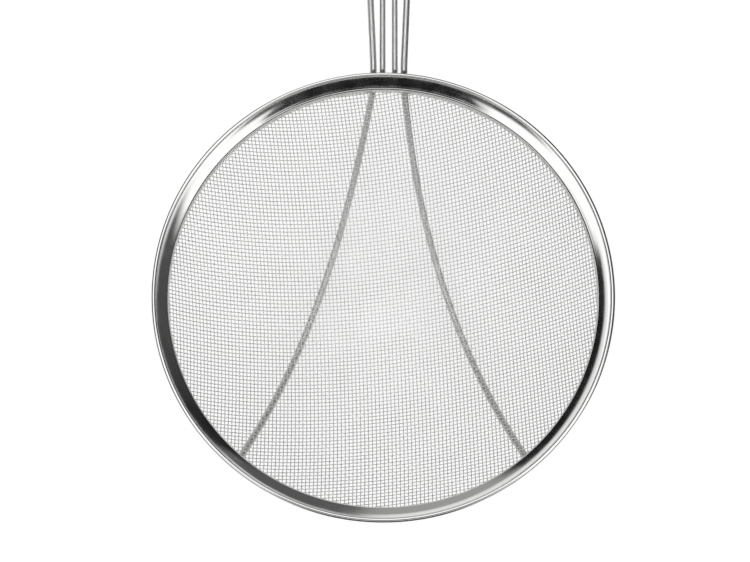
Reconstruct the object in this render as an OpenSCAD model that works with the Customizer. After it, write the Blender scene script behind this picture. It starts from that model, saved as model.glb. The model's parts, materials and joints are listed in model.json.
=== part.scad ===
// Long-handled strainer. A bowl of woven stainless wire hangs in a ring of sheet. The
// ring's outer edge is rolled inwards round a wire, its inner edge is folded down to a
// flange, and a hoop outside the flange pinches the edge of the cloth against it. One
// long wire is both cradle and handle: it runs up under the bowl, passes below the
// ring, makes the handle's loop and comes back the same way. A second wire, bent like
// a hairpin, doubles the handle. Weld beads join wires and ring.
//
// Millimetres. +Z is up and +Y runs along the handle. The origin is the middle of
// the ring, level with the underside of its rolled edge.

/* [Ring] */
// Outer diameter over the rolled edge
rim_d = 260; // [160:5:320]
// Diameter of the wire that the edge is rolled round
core_wire_d = 1.6; // [1:0.1:3]
// Thickness of the ring's sheet
sheet_t = 0.5; // [0.3:0.1:1]
// Width of the sloping band from below the rolled edge to the flange, seen from above
band_run = 8; // [6:0.1:14]
// Slope of the band down towards the bowl, in degrees
band_slope = 24; // [14:1:36]
// How far the middle of the band bulges above a straight slope
band_crown = 0.3; // [0:0.05:0.4]
// Height of the upright flange that the cloth's edge lies behind
flange_h = 4.2; // [3:0.1:8]

/* [Bowl] */
// Depth of the bowl below the flange's lower edge
bowl_depth = 56; // [36:1:90]
// Power of the radius that the bowl's height follows: 2 is a parabola, more is flatter
bowl_curve = 2.1; // [1.8:0.1:3]
// Diameter of one wire of the cloth, which is woven two wires thick
cloth_wire_d = 0.45; // [0.3:0.05:0.8]
// Distance from one wire of the cloth to the next
cloth_pitch = 2.3; // [1.6:0.1:4]
// How many openings stand for the cloth's holes, counted across the bowl
openings_across = 12; // [6:2:12]
// Thickness of the hoop that pinches the cloth's edge
hoop_t = 0.5; // [0.3:0.1:1]

/* [Cradle and handle] */
// Diameter of the long wire of cradle and handle
frame_wire_d = 4; // [3:0.2:6]
// Where each cradle wire ends below the ring, in degrees from the front
cradle_angle = 40; // [20:1:65]
// How far each cradle wire bows towards the middle, halfway along, seen from above
cradle_bow = 7.6; // [0:0.1:12]
// Diameter of the hairpin wire that doubles the handle
hairpin_wire_d = 3.5; // [2:0.1:5]
// Clear gap between the hairpin's two legs
hairpin_gap = 3.6; // [2:0.1:8]
// Clear gap between hairpin and frame wire where they leave the ring
neck_gap = 1.6; // [0.5:0.1:6]
// Length of the handle beyond the ring
handle_len = 190; // [100:5:300]
// Angle at which each side of the handle's loop spreads, in degrees
handle_flare = 2.5; // [0:0.25:5]
// Angle at which the handle rises away from the ring, in degrees
handle_rise = 5; // [0:1:12]
// How far the handle sits to the right of the ring's centre line
handle_offset = 3.3; // [-6:0.1:6]

/* [Fits] */
// Gap left between sheet, hoop and cloth, which are pressed together
press_gap = 0.03; // [0.01:0.01:0.1]
// Gap left between a wire and what it is welded to
weld_gap = 0.1; // [0.05:0.01:0.3]
// Radius of a weld bead
weld_r = 1; // [0.6:0.1:1.4]

/* [Hidden] */

steel = "silver";
cloth_steel = "lightgray";
weld_steel = "darkgray";

// Segments of a full turn, of a wire's own outline, and steps of the curves.
round_fn = 180;
wire_sides = 12;
roll_steps = 24;
crown_steps = 6;
fold_steps = 6;
bowl_steps = 16;
cradle_steps = 22;
bend_steps = 5;
tip_steps = 10;

rim_r = rim_d / 2;
cloth_t = 2 * cloth_wire_d;

// Rolled edge: its middle line runs round the core wire, and its underside is z = 0.
roll_r = core_wire_d / 2 + press_gap + sheet_t / 2;
roll_out_r = roll_r + sheet_t / 2;
roll_at = [rim_r - roll_out_r, roll_out_r];
// The sheet comes up below the roll, goes round outside it and over its top, and stops
// this many degrees short of a full turn, just clear of the band.
roll_open = acos(1 - (sheet_t + weld_gap + band_crown) / roll_r);

// Band: from the underside of the roll, down and inwards to the flange. The two middle
// lines would meet at the foot, and a fold of radius fold_r rounds that corner.
band_out = [sin(band_slope), -cos(band_slope)];
band_top = roll_at + roll_r * band_out;
band_foot = band_top - band_run * [1, tan(band_slope)];
fold_r = 2 * sheet_t;
fold_at = band_foot + fold_r * [1, tan(band_slope) - 1 / cos(band_slope)];
flange_low = band_foot[1] - flange_h;

// Behind the flange stand the cloth's edge and then the hoop, both as high as the fold.
bowl_r = band_foot[0] + sheet_t / 2 + press_gap + cloth_t / 2;
hoop_r = bowl_r + cloth_t / 2 + press_gap + hoop_t / 2;
hoop_edge = [hoop_r + hoop_t / 2, flange_low];

// The bowl's curve starts below the flange, and slope_out points square out of it there.
rim_at = [bowl_r, flange_low - cloth_t / 2];
rim_slope = atan(bowl_curve * bowl_depth / bowl_r);
slope_dir = [cos(rim_slope), sin(rim_slope)];
slope_out = [sin(rim_slope), -cos(rim_slope)];

// Openings: a plain square grid, seen from above, that stands for the cloth's fine holes.
// A bar is the same share of the grid's pitch as a wire is of the cloth's, and half a
// flange's height is left whole below the flange.
open_r = bowl_r - flange_h / 2;
grid_pitch = 2 * open_r / openings_across;
grid_bar = grid_pitch * cloth_wire_d / cloth_pitch;

// Frame wire: its middle runs this far outside the cloth's, and just below the rolled
// edge. In between it makes two corners: one where it leaves the cloth's slope, to pass
// the hoop's lower edge, and one below the rolled edge.
frame_r = frame_wire_d / 2;
hairpin_r = hairpin_wire_d / 2;
cradle_off = max(cloth_t / 2, (hoop_edge - rim_at) * slope_out) + weld_gap + frame_r;
frame_z = -weld_gap - frame_r;
hairpin_z = -weld_gap - hairpin_r;
leg_x = hairpin_gap / 2 + hairpin_r;
neck_x = leg_x + hairpin_r + neck_gap + frame_r;
cradle_rim = rim_at + cradle_off * slope_out;
edge_corner = below_band(sheet_t / 2 + weld_gap + frame_r, frame_z);
past_hoop = edge_corner - hoop_edge;
pass_angle = atan2(past_hoop[1], past_hoop[0])
             + asin((frame_r + 2 * weld_gap) / norm(past_hoop));
pass_dir = [cos(pass_angle), sin(pass_angle)];
foot_corner = cradle_rim + turned(edge_corner - cradle_rim, pass_dir)
                           / turned(slope_dir, pass_dir) * slope_dir;
corner_bend = 0.6 * frame_wire_d;
rise_bend = 2 * frame_wire_d;
rise_y = rim_r + 1.5 * frame_wire_d;
hairpin_end_r = below_band(sheet_t / 2 + weld_gap, hairpin_z + hairpin_r)[0];

// At the front a weld bead fills the notch between hoop and wire, and the wire ends
// just past it.
notch_r = hoop_edge[0] + press_gap + weld_r;
notch_z = cradle_rim[1] + (frame_r + press_gap + weld_r
                           + (notch_r - cradle_rim[0]) * slope_out[0]) / slope_dir[0];
cradle_end_r = cradle_rim[0]
    + (([notch_r, notch_z] - cradle_rim) * slope_dir + weld_r) * slope_dir[0];

// Sine of the turn from direction b to direction a, times their lengths.
function turned(a, b) = a[0] * b[1] - a[1] * b[0];

// Point at height z on the line that runs a distance d below the band's middle.
function below_band(d, z) =
    [roll_at[0] + (roll_r + d + (z - roll_at[1]) * cos(band_slope)) / sin(band_slope), z];

// Handle outline: straight sides that spread, and a round end that meets them smoothly.
loop_len = handle_len - 1.5 * frame_wire_d - frame_r;
tip_r = (neck_x * cos(handle_flare) + loop_len * sin(handle_flare)) / (1 + sin(handle_flare));
hairpin_len = loop_len - frame_r - hairpin_r - weld_gap;

// Height of the cloth's middle at radius r, a power curve, and its slope there.
function bowl_z(r) = rim_at[1] - bowl_depth * (1 - pow(r / bowl_r, bowl_curve));
function bowl_slope(r) = tan(rim_slope) * pow(r / bowl_r, bowl_curve - 1);
// Height of the frame wire's middle at radius r, its offset taken square to the cloth.
function wire_z(r) = bowl_z(r) - cradle_off * sqrt(1 + pow(bowl_slope(r), 2));

function unit(v) = v / norm(v);
function reverse(list) = [for (i = [len(list) - 1:-1:0]) list[i]];
function bend(a, b, c) =
    [for (i = [0:bend_steps]) let(t = i / bend_steps)
        (1 - t) * (1 - t) * a + 2 * t * (1 - t) * b + t * t * c];
// Bend at corner b between straights to a and c, which starts a distance d before it.
function corner_turn(a, b, c, d) = bend(b + d * unit(a - b), b, b + d * unit(c - b));

// Outline of a sheet of thickness t whose middle line is pts, with square ends. Each
// point moves square to the line, and at a corner far enough for both its sides.
function leftward(v) = unit([-v[1], v[0]]);
function beside(pts, d) =
    [for (i = [0:len(pts) - 1])
        let(before = max(i, 1), after = min(i, len(pts) - 2),
            both_ways = leftward(pts[before] - pts[before - 1])
                        + leftward(pts[after + 1] - pts[after]))
        pts[i] + 2 * d * both_ways / (both_ways * both_ways)];
function sheet(pts, t) = concat(beside(pts, t / 2), reverse(beside(pts, -t / 2)));

module spun(pts) rotate_extrude($fn = round_fn) polygon(pts);

// Round wire along a path that is never vertical, with flat ends.
function tangent(pts, i) = unit(pts[min(i + 1, len(pts) - 1)] - pts[max(i - 1, 0)]);
module wire(path, r) {
    n = len(path);
    rings = [for (i = [0:n - 1])
        let(v = tangent(path, i), side = unit(cross(v, [0, 0, 1])), up = cross(side, v))
        for (k = [0:wire_sides - 1])
            path[i] + r * (cos(k * 360 / wire_sides) * side + sin(k * 360 / wire_sides) * up)];
    walls = [for (i = [0:n - 2], k = [0:wire_sides - 1])
        let(a = i * wire_sides, b = a + wire_sides, j = (k + 1) % wire_sides)
        [a + k, a + j, b + j, b + k]];
    ends = [[for (k = [wire_sides - 1:-1:0]) k],
            [for (k = [0:wire_sides - 1]) (n - 1) * wire_sides + k]];
    polyhedron(points = rings, faces = concat(walls, ends), convexity = 6);
}

// A point of the handle: x to the right of its centre line, d along it, at height z.
function on_handle(x, d, z) =
    [handle_offset + x, rise_y + d * cos(handle_rise), z + d * sin(handle_rise)];

// One side of the frame wire, from its end below the ring's front to the handle's tip.
// Both cradle wires stay square to the front until they near the handle, and then turn
// to the handle's own centre line.
function frame_side(side) =
    let(start = cradle_end_r * [side * sin(cradle_angle), -cos(cradle_angle)],
        neck = handle_offset + side * neck_x,
        foot = [neck, sqrt(pow(foot_corner[0], 2) - pow(neck, 2)), foot_corner[1]],
        edge = [neck, sqrt(pow(edge_corner[0], 2) - pow(neck, 2)), edge_corner[1]],
        chord = [side * neck_x, foot[1]] - start,
        inward = side * [-chord[1], chord[0]] / norm(chord),
        last = 1 - corner_bend / norm(chord),
        cradle = [for (i = [0:cradle_steps])
            let(t = last * i / cradle_steps,
                p = start + t * chord + 4 * t * (1 - t) * cradle_bow * inward
                    + [handle_offset * pow(t, 4), 0])
            [p[0], p[1], wire_z(norm(p))]],
        up = [neck, rise_y, frame_z],
        foot_bend = corner_turn(cradle[cradle_steps], foot, edge, corner_bend),
        edge_bend = corner_turn(foot, edge, up, corner_bend / 2),
        rise = bend(up - [0, rise_bend / 2, 0], up,
                    on_handle(side * (neck_x + rise_bend / 2 * tan(handle_flare)),
                              rise_bend / 2, frame_z)),
        tip = [for (i = [0:tip_steps])
            let(a = -handle_flare + (90 + handle_flare) * i / tip_steps)
            on_handle(side * tip_r * cos(a), loop_len - tip_r + tip_r * sin(a), frame_z)])
    concat([for (i = [0:cradle_steps - 1]) cradle[i]], foot_bend, edge_bend, rise, tip);

// One leg of the hairpin, from its end below the rolled edge to the middle of its bend.
function hairpin_side(side) =
    let(x = side * leg_x,
        start = sqrt(pow(hairpin_end_r, 2) - pow(handle_offset + x, 2)),
        up = [handle_offset + x, rise_y, hairpin_z],
        rise = bend(up - [0, rise_bend / 2, 0], up, on_handle(x, rise_bend / 2, hairpin_z)),
        tip = [for (i = [0:tip_steps])
            let(a = 90 * i / tip_steps)
            on_handle(x * cos(a), hairpin_len - leg_x + leg_x * sin(a), hairpin_z)])
    concat([[handle_offset + x, start, hairpin_z]], rise, tip);

function both(right, left) =
    concat(right, [for (i = [len(left) - 2:-1:0]) left[i]]);

// Middle line of the ring's sheet: round the core wire, down the band, round the fold
// and down the flange.
function roll_line() =
    [for (i = [0:roll_steps - 1])
        let(a = band_slope - 90 + (360 - roll_open) * (1 - i / roll_steps))
        roll_at + roll_r * [cos(a), sin(a)]];
function band_line() =
    let(last = fold_at - fold_r * band_out)
    [for (i = [0:crown_steps]) let(t = i / crown_steps)
        band_top + t * (last - band_top) - 4 * t * (1 - t) * band_crown * band_out];
function fold_line() =
    [for (i = [1:fold_steps])
        let(a = 90 + band_slope + (90 - band_slope) * i / fold_steps)
        fold_at + fold_r * [cos(a), sin(a)]];
function rim_line() =
    concat(roll_line(), band_line(), fold_line(), [[band_foot[0], flange_low]]);

module rim_band() color(steel) spun(sheet(rim_line(), sheet_t));

module rim_core_wire() color(steel)
    rotate_extrude($fn = round_fn)
        translate(roll_at) circle(d = core_wire_d, $fn = 32);

// Hoop: a plain upright strip round the cloth's edge.
module clamp_hoop() color(steel)
    spun(sheet([[hoop_r, flange_low], [hoop_r, fold_at[1]]], hoop_t));

// One upright prism for each opening whose middle is inside the border. The outermost
// ones are cut round by the border.
module openings() {
    tall = 2 * bowl_depth;
    last = (openings_across - 1) / 2;
    intersection() {
        translate([0, 0, -tall]) cylinder(r = open_r, h = tall, $fn = round_fn);
        for (i = [-last:last], j = [-last:last])
            if (norm([i, j]) * grid_pitch < open_r)
                translate([i * grid_pitch, j * grid_pitch, -tall / 2])
                    cube([grid_pitch - grid_bar, grid_pitch - grid_bar, tall], center = true);
    }
}

// Skin of the cloth: the power curve, then an upright edge between flange and hoop.
module bowl_skin()
    let(curve = [for (i = [1:bowl_steps])
            let(r = bowl_r * i / bowl_steps) [r, bowl_z(r)]],
        line = concat(curve, [[bowl_r, fold_at[1]]]),
        half = cloth_t / 2)
    spun(concat([[0, bowl_z(0) + half]], beside(line, half),
                reverse(beside(line, -half)), [[0, bowl_z(0) - half]]));

// Bowl of cloth: the skin, with the grid of openings cut straight down through it.
module mesh_bowl() color(cloth_steel)
    difference() {
        bowl_skin();
        openings();
    }

module frame_wire() color(steel) wire(both(frame_side(1), frame_side(-1)), frame_r);

module hairpin_wire() color(steel) wire(both(hairpin_side(1), hairpin_side(-1)), hairpin_r);

// Weld beads are small balls of metal, each lying in the notch between what it joins.
module weld_bead(at) translate(at) sphere(r = weld_r, $fn = 32);

// Between the top of a handle wire and the outside of the rolled edge.
module ring_weld(x)
    let(z = -weld_gap + weld_r + press_gap,
        reach = roll_out_r + weld_r + press_gap,
        r = roll_at[0] + sqrt(pow(reach, 2) - pow(roll_at[1] - z, 2)))
    weld_bead([x, sqrt(pow(r, 2) - pow(x, 2)), z]);

module ring_welds() color(weld_steel)
    for (side = [-1, 1], x = [leg_x, neck_x]) ring_weld(handle_offset + side * x);

// In the notch between the end of a cradle wire and the hoop.
module cradle_weld(side)
    let(path = frame_side(side),
        near_end = path[0] + weld_r * unit(path[1] - path[0]),
        outward = unit([near_end[0], near_end[1]]))
    weld_bead([notch_r * outward[0], notch_r * outward[1], notch_z]);

module cradle_welds() color(weld_steel) for (side = [-1, 1]) cradle_weld(side);

// In the groove between the handle's round end and the bend of the hairpin.
module tip_weld() color(weld_steel)
    let(apart = loop_len - hairpin_len,
        to_frame = frame_r + weld_r + press_gap,
        to_hairpin = hairpin_r + weld_r + press_gap,
        back = (pow(to_frame, 2) - pow(to_hairpin, 2) + pow(apart, 2)) / (2 * apart),
        height = frame_z + sqrt(pow(to_frame, 2) - pow(back, 2)) + (frame_r - hairpin_r))
    weld_bead(on_handle(0, loop_len - back, height));

rim_band();
rim_core_wire();
clamp_hoop();
mesh_bowl();
frame_wire();
hairpin_wire();
ring_welds();
cradle_welds();
tip_weld();
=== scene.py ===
# %% [markdown]
# # A long-handled wire strainer
# The strainer is a bowl of woven stainless cloth in a rolled sheet ring. One bent rod
# is both the cradle under the bowl and the outside of the handle, and a hairpin rod
# doubles the handle. The solid model gives every place and size. This script swaps its
# plain solids for finished surfaces, down to each wire of the weave.

import json
import math

import bpy
import numpy as np
from mathutils import Matrix, Vector


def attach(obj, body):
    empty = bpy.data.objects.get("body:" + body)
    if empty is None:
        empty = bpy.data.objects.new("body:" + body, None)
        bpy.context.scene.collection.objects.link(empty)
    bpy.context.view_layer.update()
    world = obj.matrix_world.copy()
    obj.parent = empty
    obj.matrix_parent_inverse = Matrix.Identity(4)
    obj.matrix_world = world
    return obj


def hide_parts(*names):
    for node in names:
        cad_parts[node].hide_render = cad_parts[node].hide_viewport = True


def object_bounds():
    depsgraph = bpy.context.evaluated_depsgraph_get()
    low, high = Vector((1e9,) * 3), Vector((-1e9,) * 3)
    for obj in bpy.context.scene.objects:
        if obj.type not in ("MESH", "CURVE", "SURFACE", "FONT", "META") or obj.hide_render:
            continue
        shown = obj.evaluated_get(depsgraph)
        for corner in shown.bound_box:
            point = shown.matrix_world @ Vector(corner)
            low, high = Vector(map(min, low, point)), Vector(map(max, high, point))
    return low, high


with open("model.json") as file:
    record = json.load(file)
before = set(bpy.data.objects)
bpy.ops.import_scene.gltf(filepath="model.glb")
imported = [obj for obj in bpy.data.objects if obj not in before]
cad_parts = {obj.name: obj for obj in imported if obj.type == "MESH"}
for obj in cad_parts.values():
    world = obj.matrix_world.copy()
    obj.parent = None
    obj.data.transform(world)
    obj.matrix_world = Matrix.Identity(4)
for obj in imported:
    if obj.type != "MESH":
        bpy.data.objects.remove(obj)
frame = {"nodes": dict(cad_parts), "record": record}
cad_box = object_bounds()
record = frame["record"]
MM = 0.001

print("nodes:", sorted(frame["nodes"]))
print("whole object, mm:", [round((b - a) / MM, 1) for a, b in zip(*cad_box)])

# %% [markdown]
# ## Sizes
# The ring is bent from one strip of sheet: its outer edge is rolled inwards round a
# wire. From below the roll the strip slopes down as a band, and its inner edge is folded
# down to an upright flange. The cloth's edge stands behind the flange and the hoop stands
# behind the cloth. The same few sizes give every curve here, so they are named once. The
# ring's radius comes from the record.

# %% Name the sizes, in millimetres
mounts = {mount["name"]: mount for mount in record["mounts"]}
RIM_R = mounts["rim_seat"]["dims"]["r_mm"]
SHEET = 0.5
CORE_WIRE_R = 0.8
BAND_RUN = 8
BAND_SLOPE = math.radians(24)
BAND_CROWN = 0.3
FLANGE_H = 4.2
FOLD_R = 1.0
BOWL_DEPTH = 56
BOWL_CURVE = 2.1
CLOTH_WIRE = 0.45
HOOP_T = 0.5
PRESS_GAP = 0.03
WELD_GAP = 0.1

roll_r = CORE_WIRE_R + PRESS_GAP + SHEET / 2
roll_out_r = roll_r + SHEET / 2
roll_at = np.array([RIM_R - roll_out_r, roll_out_r])
band_out = np.array([math.sin(BAND_SLOPE), -math.cos(BAND_SLOPE)])
band_top = roll_at + roll_r * band_out
band_foot = band_top - BAND_RUN * np.array([1, math.tan(BAND_SLOPE)])
fold_drop = math.tan(BAND_SLOPE) - 1 / math.cos(BAND_SLOPE)
hoop_top = band_foot[1] + FOLD_R * fold_drop
flange_low = band_foot[1] - FLANGE_H

bowl_r = band_foot[0] + SHEET / 2 + PRESS_GAP + CLOTH_WIRE
hoop_r = bowl_r + CLOTH_WIRE + PRESS_GAP + HOOP_T / 2
hoop_edge = np.array([hoop_r + HOOP_T / 2, flange_low])
rim_at = np.array([bowl_r, flange_low - CLOTH_WIRE])
rim_slope = math.atan(BOWL_CURVE * BOWL_DEPTH / bowl_r)
slope_dir = np.array([math.cos(rim_slope), math.sin(rim_slope)])
slope_out = np.array([math.sin(rim_slope), -math.cos(rim_slope)])

print("bowl's radius:", round(bowl_r, 2), " slope there:", round(math.degrees(rim_slope), 1))

# %% [markdown]
# ## Two ways to make a surface
# Nearly everything on this object is either a strip turned round an axis or a round
# wire carried along a path. Both are grids of points, so both are worked out as whole
# arrays. One more function puts a grid into a mesh, hangs it on the object and hides
# the plain solid it stands for.

# %% Make grids into pieces
def grid_faces(rows, columns, wrap_rows=False, wrap_columns=False):
    """Quads of a grid of points numbered row by row, closed round either way."""
    row = np.arange(rows if wrap_rows else rows - 1)[:, None]
    column = np.arange(columns if wrap_columns else columns - 1)[None, :]
    next_row = (row + 1) % rows
    next_column = (column + 1) % columns
    corners = [row * columns + column, row * columns + next_column,
               next_row * columns + next_column, next_row * columns + column]
    return np.stack([c.ravel() for c in np.broadcast_arrays(*corners)], axis=-1)


def make_piece(name, points, faces, material, slot, *replaced):
    """Puts points (in mm) and a list of face arrays into a smooth mesh on the root body."""
    mesh = bpy.data.meshes.new(name)
    corners = np.concatenate([f.ravel() for f in faces]).astype(np.int32)
    sizes = np.concatenate([np.full(len(f), f.shape[1]) for f in faces])
    starts = np.concatenate([[0], np.cumsum(sizes)[:-1]]).astype(np.int32)
    mesh.vertices.add(len(points))
    mesh.vertices.foreach_set("co", (points * MM).astype(np.float32).ravel())
    mesh.loops.add(len(corners))
    mesh.loops.foreach_set("vertex_index", corners)
    mesh.polygons.add(len(sizes))
    mesh.polygons.foreach_set("loop_start", starts)
    mesh.update(calc_edges=True)
    mesh.shade_smooth()
    mesh.materials.append(material)
    piece = bpy.data.objects.new(name, mesh)
    bpy.context.scene.collection.objects.link(piece)
    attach(piece, "root")
    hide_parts(*replaced)
    print(name, "has", int(np.sum(sizes - 2)), "triangles")
    return piece


def unit(vectors):
    return vectors / np.linalg.norm(vectors, axis=-1, keepdims=True)


# %% [markdown]
# ## Materials
# The whole object is stainless steel, and only the surface differs. Rolled and polished
# sheet is close to a mirror, with faint rings from the spinning tool. Drawn wire keeps
# fine lines along its length. A weld is rough and a little darker. Every metal keeps
# the default index of refraction, because its colour already holds its reflection.

# %% Helpers for materials
def linear(code):
    """sRGB hex to linear colour: c/12.92 low down, ((c + 0.055)/1.055)^2.4 above."""
    c = np.array([int(code[i:i + 2], 16) / 255 for i in (1, 3, 5)])
    rgb = np.where(c <= 0.04045, c / 12.92, ((c + 0.055) / 1.055) ** 2.4)
    return (*rgb.tolist(), 1.0)


def add(tree, kind, inputs=None, **settings):
    """Adds one node: settings are its own options, inputs are values or other sockets."""
    node = tree.nodes.new("ShaderNode" + kind)
    for key, value in settings.items():
        setattr(node, key, value)
    for socket, value in (inputs or {}).items():
        if isinstance(value, bpy.types.NodeSocket):
            tree.links.new(value, node.inputs[socket])
        else:
            node.inputs[socket].default_value = value
    return node


def new_material(name):
    material = bpy.data.materials.new(name)
    material.use_nodes = True
    material.node_tree.nodes.clear()
    return material, material.node_tree


# %% Polished sheet of the ring, and the satin strip of the hoop
# Cold-rolled 18/8 stainless, spun to shape and buffed. The eye sees sharp reflections,
# broken by faint rings about 0.3 mm apart and by slow waves left by the rolling of the
# edge. Rings that fine would not show, so they are drawn at 0.6 mm.
def spun_steel(name, colour, roughness, ring_mm, ring_depth, wave_depth):
    material, tree = new_material(name)
    place = add(tree, "TexCoord").outputs["Object"]
    flat = add(tree, "VectorMath", {0: place, 1: (1, 1, 0)}, operation="MULTIPLY")
    radius = add(tree, "VectorMath", {0: flat.outputs[0]}, operation="LENGTH")
    height = add(tree, "SeparateXYZ", {0: place})
    across = add(tree, "CombineXYZ", {"X": radius.outputs["Value"], "Y": height.outputs["Z"]})
    rings = add(tree, "TexNoise", {"Vector": across.outputs[0], "Scale": 1 / (ring_mm * MM),
                                   "Detail": 2.0, "Roughness": 0.6})
    waves = add(tree, "TexNoise", {"Vector": place, "Scale": 1 / (22 * MM), "Detail": 1.0})
    smears = add(tree, "TexNoise", {"Vector": place, "Scale": 1 / (9 * MM), "Detail": 4.0})
    wave_bump = add(tree, "Bump", {"Height": waves.outputs["Fac"], "Strength": 1.0,
                                   "Distance": wave_depth * MM})
    ring_bump = add(tree, "Bump", {"Height": rings.outputs["Fac"], "Strength": 1.0,
                                   "Distance": ring_depth * MM,
                                   "Normal": wave_bump.outputs[0]})
    gloss = add(tree, "MapRange", {"Value": smears.outputs["Fac"], "From Min": 0.3,
                                   "From Max": 0.7, "To Min": roughness * 0.75,
                                   "To Max": roughness * 1.35})
    tone = add(tree, "MapRange", {"Value": rings.outputs["Fac"], "From Min": 0.25,
                                  "From Max": 0.75, "To Min": 0.84, "To Max": 1.0})
    shade = add(tree, "VectorMath", {0: linear(colour)[:3], "Scale": tone.outputs[0]},
                operation="SCALE")
    surface = add(tree, "BsdfPrincipled", {"Base Color": shade.outputs[0], "Metallic": 1.0,
                                           "Roughness": gloss.outputs[0],
                                           "Normal": ring_bump.outputs[0]})
    add(tree, "OutputMaterial", {"Surface": surface.outputs[0]})
    return material


buffed_sheet = spun_steel("spun_and_buffed_stainless_sheet", "#E6E6E5", roughness=0.10,
                          ring_mm=0.6, ring_depth=0.004, wave_depth=0.05)
satin_strip = spun_steel("satin_stainless_strip", "#D2D2D1", roughness=0.28,
                         ring_mm=0.4, ring_depth=0.010, wave_depth=0.02)


# %% Drawn rod of cradle and handle, and drawn wire of the cloth
# Both are pulled through a die, which leaves fine lines along their length. The rods
# run mostly along Y, so the noise is stretched along Y. The rod is then polished; the
# cloth's wire is only bright, so it is rougher. Both are darker and rougher in random
# patches, small ones on the rod and wide ones on the cloth: the darkening is painted
# shade, a copy of the uneven light that mottles the cloth and the rods.
def drawn_steel(name, colour, roughness, line_mm, stretch, line_depth, patch_mm, dullest):
    material, tree = new_material(name)
    place = add(tree, "TexCoord").outputs["Object"]
    along = add(tree, "Mapping", {"Vector": place, "Scale": (1, 1 / stretch, 1)})
    lines = add(tree, "TexNoise", {"Vector": along.outputs[0], "Scale": 1 / (line_mm * MM),
                                   "Detail": 3.0, "Roughness": 0.6})
    patches = add(tree, "TexNoise", {"Vector": place, "Scale": 1 / (patch_mm * MM),
                                     "Detail": 3.0})
    bump = add(tree, "Bump", {"Height": lines.outputs["Fac"], "Strength": 1.0,
                              "Distance": line_depth * MM})
    gloss = add(tree, "MapRange", {"Value": patches.outputs["Fac"], "From Min": 0.3,
                                   "From Max": 0.7, "To Min": roughness * 0.8,
                                   "To Max": roughness * 1.3})
    tone = add(tree, "MapRange", {"Value": lines.outputs["Fac"], "From Min": 0.3,
                                  "From Max": 0.7, "To Min": 0.86, "To Max": 1.0})
    # Painted shade: the colour darkens in random patches, down to the darkest given tone.
    cloud = add(tree, "MapRange", {"Value": patches.outputs["Fac"], "From Min": 0.3,
                                   "From Max": 0.7, "To Min": 1.0, "To Max": dullest})
    both = add(tree, "Math", {0: tone.outputs[0], 1: cloud.outputs[0]}, operation="MULTIPLY")
    shade = add(tree, "VectorMath", {0: linear(colour)[:3], "Scale": both.outputs[0]},
                operation="SCALE")
    surface = add(tree, "BsdfPrincipled", {"Base Color": shade.outputs[0], "Metallic": 1.0,
                                           "Roughness": gloss.outputs[0],
                                           "Normal": bump.outputs[0]})
    add(tree, "OutputMaterial", {"Surface": surface.outputs[0]})
    return material


polished_rod = drawn_steel("drawn_and_polished_stainless_rod", "#DCDCDB", roughness=0.38,
                           line_mm=0.5, stretch=30, line_depth=0.006,
                           patch_mm=7, dullest=0.88)
bright_wire = drawn_steel("bright_drawn_stainless_wire", "#F6F6F5", roughness=0.5,
                          line_mm=0.12, stretch=1, line_depth=0.003,
                          patch_mm=28, dullest=0.86)


# %% Weld metal
# A bead of melted rod, cleaned in acid. It is duller than the rod, and keeps a little
# straw and grey tint from the heat.
def weld_metal(name):
    material, tree = new_material(name)
    place = add(tree, "TexCoord").outputs["Object"]
    tint = add(tree, "TexNoise", {"Vector": place, "Scale": 1 / (0.9 * MM), "Detail": 4.0})
    blend = add(tree, "ValToRGB", {"Fac": tint.outputs["Fac"]})
    blend.color_ramp.elements[0].position = 0.35
    blend.color_ramp.elements[0].color = linear("#5C5B5A")
    blend.color_ramp.elements[1].position = 0.7
    blend.color_ramp.elements[1].color = linear("#9C9A97")
    bump = add(tree, "Bump", {"Height": tint.outputs["Fac"], "Strength": 1.0,
                              "Distance": 0.12 * MM})
    surface = add(tree, "BsdfPrincipled", {"Base Color": blend.outputs["Color"],
                                           "Metallic": 1.0, "Roughness": 0.42,
                                           "Normal": bump.outputs[0]})
    add(tree, "OutputMaterial", {"Surface": surface.outputs[0]})
    return material


weld_steel = weld_metal("pickled_weld_metal")
print("materials:", [m.name for m in bpy.data.materials])

# %% [markdown]
# ## The ring
# A strip of sheet has two parallel faces, so its outline is its middle line moved half
# a thickness to each side, with a round cap at each end where the cut edge was
# deburred. That outline is turned about the bowl's axis. The roll goes out and up
# round the core wire and over its top, and stops just clear of the band. A round fold
# joins band and flange. It is softer than the solid's, as a pressed fold is.

# %% Outline of a strip, and turning it
TURNS = 600


def strip_outline(line, thickness, cap_points=7):
    """Closed outline: the line moved +t/2 and -t/2 along its normal, with round ends."""
    ahead = unit(np.gradient(line, axis=0))
    normal = np.stack([-ahead[:, 1], ahead[:, 0]], axis=-1)
    left = line + normal * thickness / 2
    right = line - normal * thickness / 2
    turn = np.linspace(0, math.pi, cap_points + 2)[1:-1, None]
    last = line[-1] + thickness / 2 * (np.cos(turn) * normal[-1] + np.sin(turn) * ahead[-1])
    first = line[0] - thickness / 2 * (np.cos(turn) * normal[0] + np.sin(turn) * ahead[0])
    return np.concatenate([left, last, right[::-1], first])


def spin(outline, turns=TURNS):
    """Point i of the outline at angle a is (r cos a, r sin a, z)."""
    angle = np.linspace(0, 2 * math.pi, turns, endpoint=False)[:, None]
    r, z = outline[:, 0], outline[:, 1]
    points = np.stack([r * np.cos(angle), r * np.sin(angle), z + 0 * angle], axis=-1)
    points = points.reshape(-1, 3)
    return points, outward(points, [grid_faces(turns, len(outline), True, True)])


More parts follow.
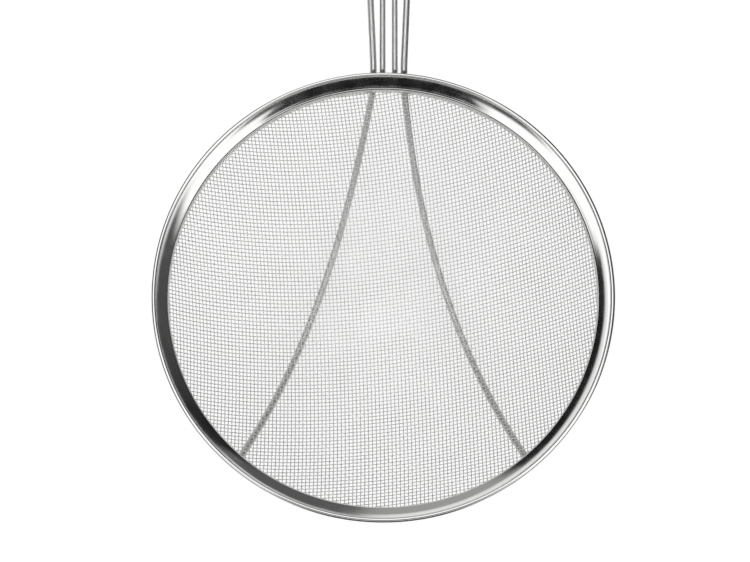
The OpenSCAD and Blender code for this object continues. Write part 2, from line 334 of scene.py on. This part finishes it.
def outward(points, faces):
    """Turns all the faces round if the volume that they enclose comes out negative: it is
    the sum of a . (b x c) over the triangles that each face fans out into."""
    volume = 0
    for kind in faces:
        for i in range(1, kind.shape[1] - 1):
            a, b, c = (points[kind[:, corner]] for corner in (0, i, i + 1))
            volume += np.sum(a * np.cross(b, c))
    return faces if volume > 0 else [kind[:, ::-1] for kind in faces]


# %% Make the ring and the hoop
SOFT_FOLD_R = 2.0

roll_open = math.acos(1 - (SHEET + WELD_GAP + BAND_CROWN) / roll_r)
roll_angle = BAND_SLOPE - math.pi / 2 + np.linspace(2 * math.pi - roll_open, 0, 40)
roll_line = roll_at + roll_r * np.stack([np.cos(roll_angle), np.sin(roll_angle)], axis=-1)
t = np.linspace(0, 1, 13)[1:, None]
bend_at = band_foot + SOFT_FOLD_R * np.array([1, fold_drop])
band_end = bend_at - SOFT_FOLD_R * band_out
band_line = band_top + t * (band_end - band_top) - 4 * t * (1 - t) * BAND_CROWN * band_out
fold_angle = np.linspace(math.pi / 2 + BAND_SLOPE, math.pi, 11)[1:]
fold_line = bend_at + SOFT_FOLD_R * np.stack([np.cos(fold_angle), np.sin(fold_angle)], axis=-1)
flange_z = np.linspace(bend_at[1], flange_low, 6)[1:]
flange_line = np.stack([band_foot[0] + 0 * flange_z, flange_z], axis=-1)
ring_line = np.concatenate([roll_line, band_line, fold_line, flange_line])
points, faces = spin(strip_outline(ring_line, SHEET))
make_piece("ring_band", points, faces, buffed_sheet, "ring_steel", "rim_band")

hoop_z = np.linspace(flange_low, hoop_top, 5)
hoop_line = np.stack([hoop_r + 0 * hoop_z, hoop_z], axis=-1)
points, faces = spin(strip_outline(hoop_line, HOOP_T))
make_piece("hoop_strip", points, faces, satin_strip, "hoop_steel", "clamp_hoop")

frame["nodes"]["rim_core_wire"].data.materials.clear()
frame["nodes"]["rim_core_wire"].data.materials.append(bright_wire)

# %% [markdown]
# ## The woven cloth
# Plain weave: every warp wire goes over one weft wire and under the next. A wire's
# middle therefore swings half a wire's thickness to each side of the cloth's surface,
# as a cosine of the distance run, and neighbours swing the opposite way.
#
# The cloth was rolled after weaving, which flattens its 0.45 mm round wires a little.
# They are drawn as ovals with about the same metal, and touch where they cross.
#
# The cloth was cut from a flat roll and pressed into the bowl. Its squares drift: the
# wires lean, bend and close up towards the edge. So the count of warp wires and the
# count of weft wires are two coordinates, and one short formula lays them on the bowl.

# %% Lay out the weave
WARP_PITCH = 2.266
WEFT_PITCH = 2.318
SPAN = 100.0
LEAN = 0.058
BEND = 0.027
BOW_TILT = 0.136
BOW = 0.034
DRIFT = 0.027
SCALE_X, SCALE_Y = 0.986, 0.987
SQUEEZE_X, SQUEEZE_Y = 0.054, 0.044
CROSS_X, CROSS_Y = 0.014, 0.016
SKEW, TWIST, CURL = 0.009, 0.010, 0.016
ROLLED_WIDTH = 0.58
ROLLED_HEIGHT = 0.36
HALF_COUNT = 68
STEPS = 3
SIDES = 6
GROUPS = 3


def lay(u, v):
    """Plan place of cloth point (u, v): u and v less a cube for the squeeze, a straight
    lean and a squared bend, all as shares of a 100 mm span."""
    u, v = u / SPAN, v / SPAN
    x = u * (SCALE_X - SQUEEZE_X * u * u - CROSS_X * v * v) - LEAN * v - BEND * v * v
    x = x - SKEW * u * (u + v) - TWIST * u * u * v
    y = v * (SCALE_Y - SQUEEZE_Y * v * v - CROSS_Y * u * u) + BOW_TILT * u + BOW * u * u
    y = y - DRIFT * v * v - CURL * u ** 3
    return x * SPAN, y * SPAN


def on_bowl(x, y):
    """Point and upward normal of the cloth: a power curve out to the rim, and from there
    straight up behind the flange, where the normal turns level within a bend."""
    r = np.maximum(np.hypot(x, y), 1e-9)
    inside = np.minimum(r / bowl_r, 1)
    risen = np.maximum(r - bowl_r, 0) / math.cos(rim_slope)
    z = rim_at[1] - BOWL_DEPTH * (1 - inside ** BOWL_CURVE) + risen
    slope = math.tan(rim_slope) * inside ** (BOWL_CURVE - 1)
    level = 1 - np.minimum(risen / (2 * CLOTH_WIRE), 1)
    normal = unit(np.stack([-slope * x / r, -slope * y / r, level], axis=-1))
    back = np.minimum(bowl_r / r, 1)
    return np.stack([x * back, y * back, z], axis=-1), normal


# %% Carry every wire through the weave
edge_height = hoop_top - rim_at[1] - CLOTH_WIRE
cloth_edge = bowl_r + edge_height * math.cos(rim_slope)


def weave(warp):
    """Rings of points along every wire of one family: rows are wires, columns are steps."""
    own, other = (WARP_PITCH, WEFT_PITCH) if warp else (WEFT_PITCH, WARP_PITCH)
    wires = np.arange(-HALF_COUNT, HALF_COUNT + 1)[:, None]
    steps = np.arange(-HALF_COUNT * STEPS, HALF_COUNT * STEPS + 1)[None, :] / STEPS
    across, run = wires * own + 0 * steps, steps * other + 0 * wires
    plan = lay(across, run) if warp else lay(run, across)
    middle, normal = on_bowl(*plan)
    swing = np.cos(math.pi * (steps + wires)) * (0.5 if warp else -0.5) * ROLLED_HEIGHT
    path = middle + normal * swing[..., None]
    ahead = unit(np.gradient(path, axis=1))
    side = unit(np.cross(ahead, normal))
    up = np.cross(side, ahead)
    turn = (np.arange(SIDES) + 0.5) * 2 * math.pi / SIDES
    ring = np.cos(turn)[:, None] * side[:, :, None] * ROLLED_WIDTH / 2 \
        + np.sin(turn)[:, None] * up[:, :, None] * ROLLED_HEIGHT / 2
    points = path[:, :, None] + ring
    return points, np.hypot(*plan) < cloth_edge


def wire_faces(kept, sides):
    """Walls between neighbouring kept rings, and a flat end where the wire starts or stops."""
    wires, steps = kept.shape
    first = (np.arange(wires)[:, None] * steps + np.arange(steps)) * sides
    joined = first[:, :-1][kept[:, :-1] & kept[:, 1:]]
    k = np.arange(sides)
    quads = np.stack([joined[:, None] + k, joined[:, None] + (k + 1) % sides,
                      joined[:, None] + sides + (k + 1) % sides, joined[:, None] + sides + k],
                     axis=-1).reshape(-1, 4)
    before = np.pad(kept[:, :-1], ((0, 0), (1, 0)))
    after = np.pad(kept[:, 1:], ((0, 0), (0, 1)))
    starts = first[kept & ~before & after][:, None] + k[::-1]
    stops = first[kept & ~after & before][:, None] + k
    return [quads, np.concatenate([starts, stops])]


def drop_unused(points, faces):
    """Keeps only the points that the faces use, and renumbers the faces to match."""
    used = np.unique(np.concatenate([f.ravel() for f in faces]))
    number = np.zeros(len(points), int)
    number[used] = np.arange(len(used))
    return points[used], [number[f] for f in faces]


# %% Make the cloth in groups of wires
for warp, family in ((True, "warp"), (False, "weft")):
    rings, kept = weave(warp)
    rows = np.flatnonzero(kept.sum(axis=1) > STEPS)
    print(family, "wires:", len(rows), " longest, steps:", kept.sum(axis=1).max())
    for part, group in enumerate(np.array_split(rows, GROUPS), start=1):
        faces = wire_faces(kept[group], SIDES)
        points, faces = drop_unused(rings[group].reshape(-1, 3), faces)
        make_piece(f"cloth_{family}_{part}", points, outward(points, faces), bright_wire,
                   "cloth_steel", "mesh_bowl")

# %% [markdown]
# ## Cradle and handle
# The long rod starts below the front of the ring, follows the bowl's underside up to
# the back, passes the hoop, turns out level under the ring's edge and runs along the
# handle to its round end, then comes back the same way. Its path is laid out in plan.
# Its height under the bowl is the cloth's height less its own distance from the cloth,
# taken square to it.

# %% Sizes of the two rods
ROD_R = 2.0
HAIRPIN_R = 1.75
CRADLE_ANGLE = math.radians(40)
CRADLE_BOW = 7.6
HAIRPIN_GAP = 3.6
NECK_GAP = 1.6
WELD_R = 1.0
HANDLE_LEN = 190
FLARE = math.radians(2.5)
RISE = math.radians(5)
HANDLE_OFFSET = 3.3
TURN_ROOM = 2.4

cradle_off = max(CLOTH_WIRE, (hoop_edge - rim_at) @ slope_out) + WELD_GAP + ROD_R
cradle_rim = rim_at + cradle_off * slope_out
rod_z = -WELD_GAP - ROD_R
hairpin_z = -WELD_GAP - HAIRPIN_R
leg_x = HAIRPIN_GAP / 2 + HAIRPIN_R
neck_x = leg_x + HAIRPIN_R + NECK_GAP + ROD_R
rise_y = RIM_R + 3 * ROD_R
loop_len = HANDLE_LEN - 4 * ROD_R
hairpin_len = loop_len - ROD_R - HAIRPIN_R - WELD_GAP
tip_r = (neck_x * math.cos(FLARE) + loop_len * math.sin(FLARE)) / (1 + math.sin(FLARE))


print("cradle rod's middle below the cloth:", round(cradle_off, 2), " tip's radius:",
      round(tip_r, 2))


# %% Lay out the two rods
CRADLE_POINTS = 160
TIP_POINTS = 40
HAIRPIN_POINTS = 24


def below_band(gap, z):
    """Radius at height z of the line that runs a distance gap below the band's middle."""
    return roll_at[0] + (roll_r + gap + (z - roll_at[1]) * math.cos(BAND_SLOPE)) \
        / math.sin(BAND_SLOPE)


def rod_height(r):
    """Height of the rod's middle under the bowl at radius r."""
    slope = math.tan(rim_slope) * (r / bowl_r) ** (BOWL_CURVE - 1)
    return rim_at[1] - BOWL_DEPTH * (1 - (r / bowl_r) ** BOWL_CURVE) \
        - cradle_off * np.sqrt(1 + slope ** 2)


def bend(a, b, c, points=14):
    """Smooth corner: (1 - t)^2 a + 2 t (1 - t) b + t^2 c."""
    t = np.linspace(0, 1, points)[:, None]
    return (1 - t) ** 2 * a + 2 * t * (1 - t) * b + t ** 2 * c


def corner_turn(a, b, c, room):
    """Smooth corner at b between straights to a and c, which starts a length room before b."""
    return bend(b + room * unit(a - b), b, b + room * unit(c - b))


def on_handle(x, d, z):
    """x right of the handle's middle, d along it and z up, tilted by the handle's rise."""
    return np.stack(np.broadcast_arrays(HANDLE_OFFSET + x, rise_y + d * math.cos(RISE),
                                        z + d * math.sin(RISE)), axis=-1)


def rise_bend(x, z, spread):
    """Turn from level to the handle's rise, just outside the ring."""
    foot = np.array([HANDLE_OFFSET + x, rise_y, z])
    reach = 2 * ROD_R
    return bend(foot - [0, reach, 0], foot, on_handle(x + reach * spread, reach, z))


def turned(a, b):
    """Sine of the turn from direction a to direction b, times their lengths."""
    return a[0] * b[1] - a[1] * b[0]


def rod_corners():
    """Two corners in the radial plane: the line between them clears the hoop's lower edge."""
    edge = np.array([below_band(SHEET / 2 + WELD_GAP + ROD_R, rod_z), rod_z])
    past_hoop = edge - hoop_edge
    climb = math.atan2(past_hoop[1], past_hoop[0]) \
        + math.asin((ROD_R + 2 * WELD_GAP) / np.linalg.norm(past_hoop))
    climb_dir = np.array([math.cos(climb), math.sin(climb)])
    run = turned(edge - cradle_rim, climb_dir) / turned(slope_dir, climb_dir)
    return cradle_rim + run * slope_dir, edge


def front_end():
    """Radius where the rod stops, just past the bead in the notch between rod and hoop."""
    notch_r = hoop_edge[0] + PRESS_GAP + WELD_R
    notch_z = cradle_rim[1] + (ROD_R + PRESS_GAP + WELD_R
                               + (notch_r - cradle_rim[0]) * slope_out[0]) / slope_dir[0]
    along = (np.array([notch_r, notch_z]) - cradle_rim) @ slope_dir
    return cradle_rim[0] + (along + WELD_R) * slope_dir[0]


def long_rod(side):
    """One side of the long rod, from its end under the ring's front to the handle's tip.
    In plan it is a chord, a bow of 4 t (1 - t), and a shift of t^4 to the handle's line."""
    start = front_end() * np.array([side * math.sin(CRADLE_ANGLE), -math.cos(CRADLE_ANGLE)])
    neck = HANDLE_OFFSET + side * neck_x
    foot, edge = (np.array([neck, math.sqrt(r ** 2 - neck ** 2), z]) for r, z in rod_corners())
    chord = np.array([side * neck_x, foot[1]]) - start
    inward = side * np.array([-chord[1], chord[0]]) / np.linalg.norm(chord)
    last = 1 - TURN_ROOM / np.linalg.norm(chord)
    t = np.linspace(0, last, CRADLE_POINTS)[:, None]
    plan = start + t * chord + 4 * t * (1 - t) * CRADLE_BOW * inward
    plan = plan + HANDLE_OFFSET * t ** 4 * np.array([1, 0])
    cradle = np.column_stack([plan, rod_height(np.linalg.norm(plan, axis=1))])
    up = np.array([neck, rise_y, rod_z])
    angle = np.linspace(-FLARE, math.pi / 2, TIP_POINTS)
    tip = on_handle(side * tip_r * np.cos(angle), loop_len - tip_r + tip_r * np.sin(angle), rod_z)
    return np.concatenate([cradle[:-1], corner_turn(cradle[-1], foot, edge, TURN_ROOM),
                           corner_turn(foot, edge, up, TURN_ROOM / 2),
                           rise_bend(side * neck_x, rod_z, side * math.tan(FLARE)), tip])


def hairpin_leg(side):
    """One leg of the hairpin, from its end behind the ring to the middle of its bend."""
    x = HANDLE_OFFSET + side * leg_x
    end_r = below_band(SHEET / 2 + WELD_GAP, hairpin_z + HAIRPIN_R)
    start = [x, math.sqrt(end_r ** 2 - x ** 2), hairpin_z]
    angle = np.linspace(0, math.pi / 2, HAIRPIN_POINTS)
    tip = on_handle(side * leg_x * np.cos(angle), hairpin_len - leg_x + leg_x * np.sin(angle),
                    hairpin_z)
    return np.concatenate([[start], rise_bend(side * leg_x, hairpin_z, 0), tip])


# %% Carry a round section along a rod
END_ROUNDING = 0.35


def rod(path, radius, sides=32, end_circles=4):
    """Circles square to the path; each end is rounded by shrinking the last circles."""
    ahead = unit(np.gradient(path, axis=0))
    curl = np.linspace(0, math.pi / 2, end_circles + 2)[1:-1]
    inset = END_ROUNDING * radius
    depth, shrink = inset * np.sin(curl), np.cos(curl) ** 0.5
    path[0], path[-1] = path[0] + inset * ahead[0], path[-1] - inset * ahead[-1]
    first = path[0] - depth[::-1, None] * ahead[0]
    last = path[-1] + depth[:, None] * ahead[-1]
    path = np.concatenate([first, path, last])
    size = radius * np.concatenate([shrink[::-1], np.ones(len(ahead)), shrink])
    ahead = np.concatenate([np.repeat(ahead[:1], end_circles, 0), ahead,
                            np.repeat(ahead[-1:], end_circles, 0)])
    side = unit(np.cross(ahead, [0, 0, 1]))
    up = np.cross(side, ahead)
    turn = np.arange(sides) * 2 * math.pi / sides
    ring = np.cos(turn)[:, None] * side[:, None] + np.sin(turn)[:, None] * up[:, None]
    points = path[:, None] + ring * size[:, None, None]
    points = points.reshape(-1, 3)
    return points, outward(points, wire_faces(np.ones((1, len(path)), bool), sides))


long_path = np.concatenate([long_rod(1), long_rod(-1)[-2::-1]])
hairpin_path = np.concatenate([hairpin_leg(1), hairpin_leg(-1)[-2::-1]])
points, faces = rod(long_path, ROD_R)
make_piece("cradle_and_loop_rod", points, faces, polished_rod, "wire_steel", "frame_wire")
points, faces = rod(hairpin_path, HAIRPIN_R)
make_piece("hairpin_rod", points, faces, polished_rod, "wire_steel", "hairpin_wire")

# %% [markdown]
# ## Weld beads
# Each bead is a drop of melted metal in the notch between two parts. It is a ball with
# shallow ripples, where the melt froze in steps, so its radius is a wave of the height.
# Several beads share one solid, so a solid's points are parted where there is a gap
# between them from left to right.

# %% Make the weld beads
CLEAR_GAP = 0.9


def bead(at, radius, lean):
    """Ball whose radius is r (1 + 0.05 cos 9h + 0.03 cos 3a sin h): h is the angle from
    the lean, a the angle round it."""
    rows, columns = 22, 32
    h = np.linspace(0, math.pi, rows)[1:-1, None]
    a = np.linspace(0, 2 * math.pi, columns, endpoint=False)[None, :]
    r = radius * (1 + 0.05 * np.cos(9 * h) + 0.03 * np.cos(3 * a) * np.sin(h))
    ball = np.stack([r * np.sin(h) * np.cos(a), r * np.sin(h) * np.sin(a), r * np.cos(h)], -1)
    pole = np.array([[0, 0, radius], [0, 0, -radius]])
    ball = np.concatenate([ball.reshape(-1, 3), pole])
    axis = Vector((0, 0, 1)).rotation_difference(Vector(lean)).to_matrix()
    body = grid_faces(rows - 2, columns, False, True)
    k = np.arange(columns)
    top, bottom = (rows - 2) * columns, (rows - 2) * columns + 1
    low = (rows - 3) * columns
    caps = np.concatenate([np.stack([(k + 1) % columns, k, 0 * k + top], -1),
                           np.stack([low + k, low + (k + 1) % columns, 0 * k + bottom], -1)])
    points = ball @ np.array(axis).T + at
    return points, [body[:, ::-1], caps[:, ::-1]]


for node, title in (("ring_welds", "ring_weld"), ("cradle_welds", "cradle_weld"),
                    ("tip_weld", "tip_weld_bead")):
    corners = np.array([v.co for v in frame["nodes"][node].data.vertices]) / MM
    left_to_right = np.sort(np.unique(corners[:, 0].round(2)))
    groups = np.split(left_to_right, np.flatnonzero(np.diff(left_to_right) > CLEAR_GAP) + 1)
    for number, group in enumerate(groups, start=1):
        mine = corners[(corners[:, 0] > group[0] - 0.1) & (corners[:, 0] < group[-1] + 0.1)]
        middle = (mine.min(axis=0) + mine.max(axis=0)) / 2
        radius = np.ptp(mine, axis=0).max() / 2
        points, faces = bead(middle, radius, (1, 0, 0))
        make_piece(f"{title}_{number}", points, faces, weld_steel, "weld_steel", node)

# %% [markdown]
# ## Camera
# The strainer lies with its handle away from the viewer, who looks down into the bowl
# from about a metre, 14 degrees off straight above. The lens is long enough for the
# ring to fill the height of the frame, so the handle runs out of the top.

# %% Set up the camera
VIEW_DISTANCE = 975 * MM
VIEW_TILT = math.radians(14.1)
EYE_LEVEL = Vector((0, 0, 0.73)) * MM
eye = EYE_LEVEL + VIEW_DISTANCE * Vector((0, -math.sin(VIEW_TILT), math.cos(VIEW_TILT)))
target = EYE_LEVEL + Vector((-4.5, 5.4, 0)) * MM

gaze = (target - eye).normalized()
right = gaze.cross(Vector((0, math.cos(VIEW_TILT), math.sin(VIEW_TILT)))).normalized()
upward = right.cross(gaze)
camera_data = bpy.data.cameras.new("camera")
camera_data.sensor_width = 36
camera_data.lens = 83.4
camera_data.clip_start = 0.01
camera = bpy.data.objects.new("camera", camera_data)
turn = Matrix((right, upward, -gaze)).transposed().to_4x4()
camera.matrix_world = Matrix.Translation(eye) @ turn
bpy.context.scene.collection.objects.link(camera)
bpy.context.scene.camera = camera
print("camera at, mm:", [round(c / MM) for c in eye])

# %% [markdown]
# ## Floor, light and cards
# Polished steel shows nothing but its surroundings, so a studio puts large white boxes
# and dark cards round it, and their edges draw its shape. The world is white. Boxes
# and cards are seen by reflections alone: the camera looks through them, and they give
# no light and throw no shadow. A box is a little brighter than white, because steel
# takes part of the light away. The floor is white to the camera and to reflections,
# and still darkens where the bowl shades it.

# %% Make the floor and the white world
floor_z = cad_box[0].z
FLOOR_R = 6
FLOOR_SIDES = 96
FLOOR_GAP = 0.2 * MM
angle = np.linspace(0, 2 * math.pi, FLOOR_SIDES, endpoint=False)
floor_points = np.stack([FLOOR_R * np.cos(angle), FLOOR_R * np.sin(angle),
                         floor_z - FLOOR_GAP + 0 * angle], axis=-1)
floor_mesh = bpy.data.meshes.new("floor")
floor_mesh.from_pydata(floor_points.tolist(), [], [list(range(FLOOR_SIDES))])
floor = bpy.data.objects.new("floor", floor_mesh)
bpy.context.scene.collection.objects.link(floor)

GLOW = 0.68
paper, tree = new_material("matt_white_paper")
rays = add(tree, "LightPath")
seen = add(tree, "Math", {0: rays.outputs["Is Camera Ray"], 1: rays.outputs["Is Glossy Ray"]},
           operation="MAXIMUM")
seen = add(tree, "Math", {0: seen.outputs[0], 1: rays.outputs["Is Transmission Ray"]},
           operation="MAXIMUM")
glow = add(tree, "Math", {0: seen.outputs[0], 1: GLOW}, operation="MULTIPLY")
matt = add(tree, "BsdfDiffuse", {"Color": linear("#A6A6A6")})
white = add(tree, "Emission", {"Color": linear("#FFFFFF"), "Strength": glow.outputs[0]})
both = add(tree, "AddShader", {0: matt.outputs[0], 1: white.outputs[0]})
add(tree, "OutputMaterial", {"Surface": both.outputs[0]})
floor_mesh.materials.append(paper)

print("floor at, mm:", round(floor_z / MM, 2))

world = bpy.data.worlds.new("white_studio")
world.use_nodes = True
world.node_tree.nodes["Background"].inputs["Color"].default_value = linear("#FFFFFF")
world.node_tree.nodes["Background"].inputs["Strength"].default_value = 1.0
bpy.context.scene.world = world

# %% How a card is made
CARD_ROWS = 49
CARD_COLUMNS = 13


def card(name, azimuths, reach, shade, fade=6, slant=0, distance=1.6, lying=False):
    """Part of a sphere about the ring, between azimuths, from +X towards +Y, and between
    elevations (reach), in degrees. Its edges fade out over an angle, and it can climb by
    slant degrees per degree. A lying card is on the floor, and reach is radii in mm."""
    width, height = azimuths[1] - azimuths[0], reach[1] - reach[0]
    place = np.stack(np.meshgrid(np.linspace(0, 1, CARD_ROWS), np.linspace(0, 1, CARD_COLUMNS),
                                 indexing="ij"), axis=-1)
    a = np.radians(azimuths[0] + width * place[..., 0])
    out = reach[0] + height * place[..., 1] + slant * width * (place[..., 0] - 0.5)
    if lying:
        level, up = out * MM, floor_z + distance * MM + 0 * out
    else:
        level, up = distance * np.cos(np.radians(out)), distance * np.sin(np.radians(out))
    points = np.stack([level * np.cos(a), level * np.sin(a), up], -1)
    faces = grid_faces(CARD_ROWS, CARD_COLUMNS)
    mesh = bpy.data.meshes.new(name)
    mesh.from_pydata(points.reshape(-1, 3).tolist(), [], faces.tolist())
    layer = mesh.uv_layers.new(name="card")
    layer.data.foreach_set("uv", place.reshape(-1, 2)[faces.ravel()].ravel())
    material, tree = new_material(name + "_paper")
    uv = add(tree, "SeparateXYZ", {0: add(tree, "TexCoord").outputs["UV"]})
    cover = 1.0
    for axis, size in (("X", width), ("Y", height)):
        if size == 360:
            continue
        centred = add(tree, "Math", {0: uv.outputs[axis], 1: 0.5}, operation="SUBTRACT")
        far = add(tree, "Math", {0: centred.outputs[0]}, operation="ABSOLUTE")
        inside = add(tree, "MapRange", {"Value": far.outputs[0], "From Min": 0.5 - fade / size,
                                        "From Max": 0.5, "To Min": 1.0, "To Max": 0.0},
                     interpolation_type="SMOOTHSTEP")
        cover = add(tree, "Math", {0: inside.outputs[0], 1: cover},
                    operation="MULTIPLY").outputs[0]
    clear = add(tree, "BsdfTransparent")
    paint = add(tree, "Emission", {"Color": (1, 1, 1, 1), "Strength": shade})
    mixed = add(tree, "MixShader", {0: cover, 1: clear.outputs[0], 2: paint.outputs[0]})
    add(tree, "OutputMaterial", {"Surface": mixed.outputs[0]})
    mesh.materials.append(material)
    panel = bpy.data.objects.new(name, mesh)
    bpy.context.scene.collection.objects.link(panel)
    panel.visible_camera = False
    panel.visible_diffuse = False
    panel.visible_shadow = False


# %% Put up the boxes and cards
BOX = 1.4
card("softbox_top", (0, 360), (50, 90), BOX, distance=1.9)
card("softbox_left", (165, 240), (15, 65), BOX, fade=8, distance=1.8)
card("softbox_right", (-60, 15), (15, 65), BOX, fade=8, distance=1.8)
card("horizon", (0, 360), (-12, 33), 0.03, fade=7, distance=1.7)
card("camera_shade", (-168, -20), (61, 83), 0.08, fade=8, distance=1.65)
card("card_front", (-131, -41), (47, 82), 0.004, fade=4)
card("card_back_left", (110, 176), (-5, 48), 0.015, fade=8, slant=0.14)
card("card_left", (158, 206), (-5, 46), 0.02, fade=12)
card("card_back", (82, 118), (-5, 41), 0.42, fade=6)
card("card_back_mid", (58, 90), (-5, 50), 0.12, fade=6)
card("card_back_right", (30, 66), (-5, 60), 0.02, fade=8, slant=-0.25)
card("card_right", (-8, 52), (-5, 69), 0.08, fade=14)
card("paper_below", (0, 360), (0, 200), 0.82, fade=50, distance=1, lying=True)
card("paper_right", (-30, 70), (132, 900), 0.04, fade=15, distance=2, lying=True)
card("paper_front", (-120, -60), (132, 900), 0.04, fade=15, distance=3, lying=True)
print("boxes and cards:", sum(m.name.endswith("_paper") for m in bpy.data.materials) - 1)

# %% Set the view and finish
bpy.context.scene.view_settings.view_transform = "Standard"
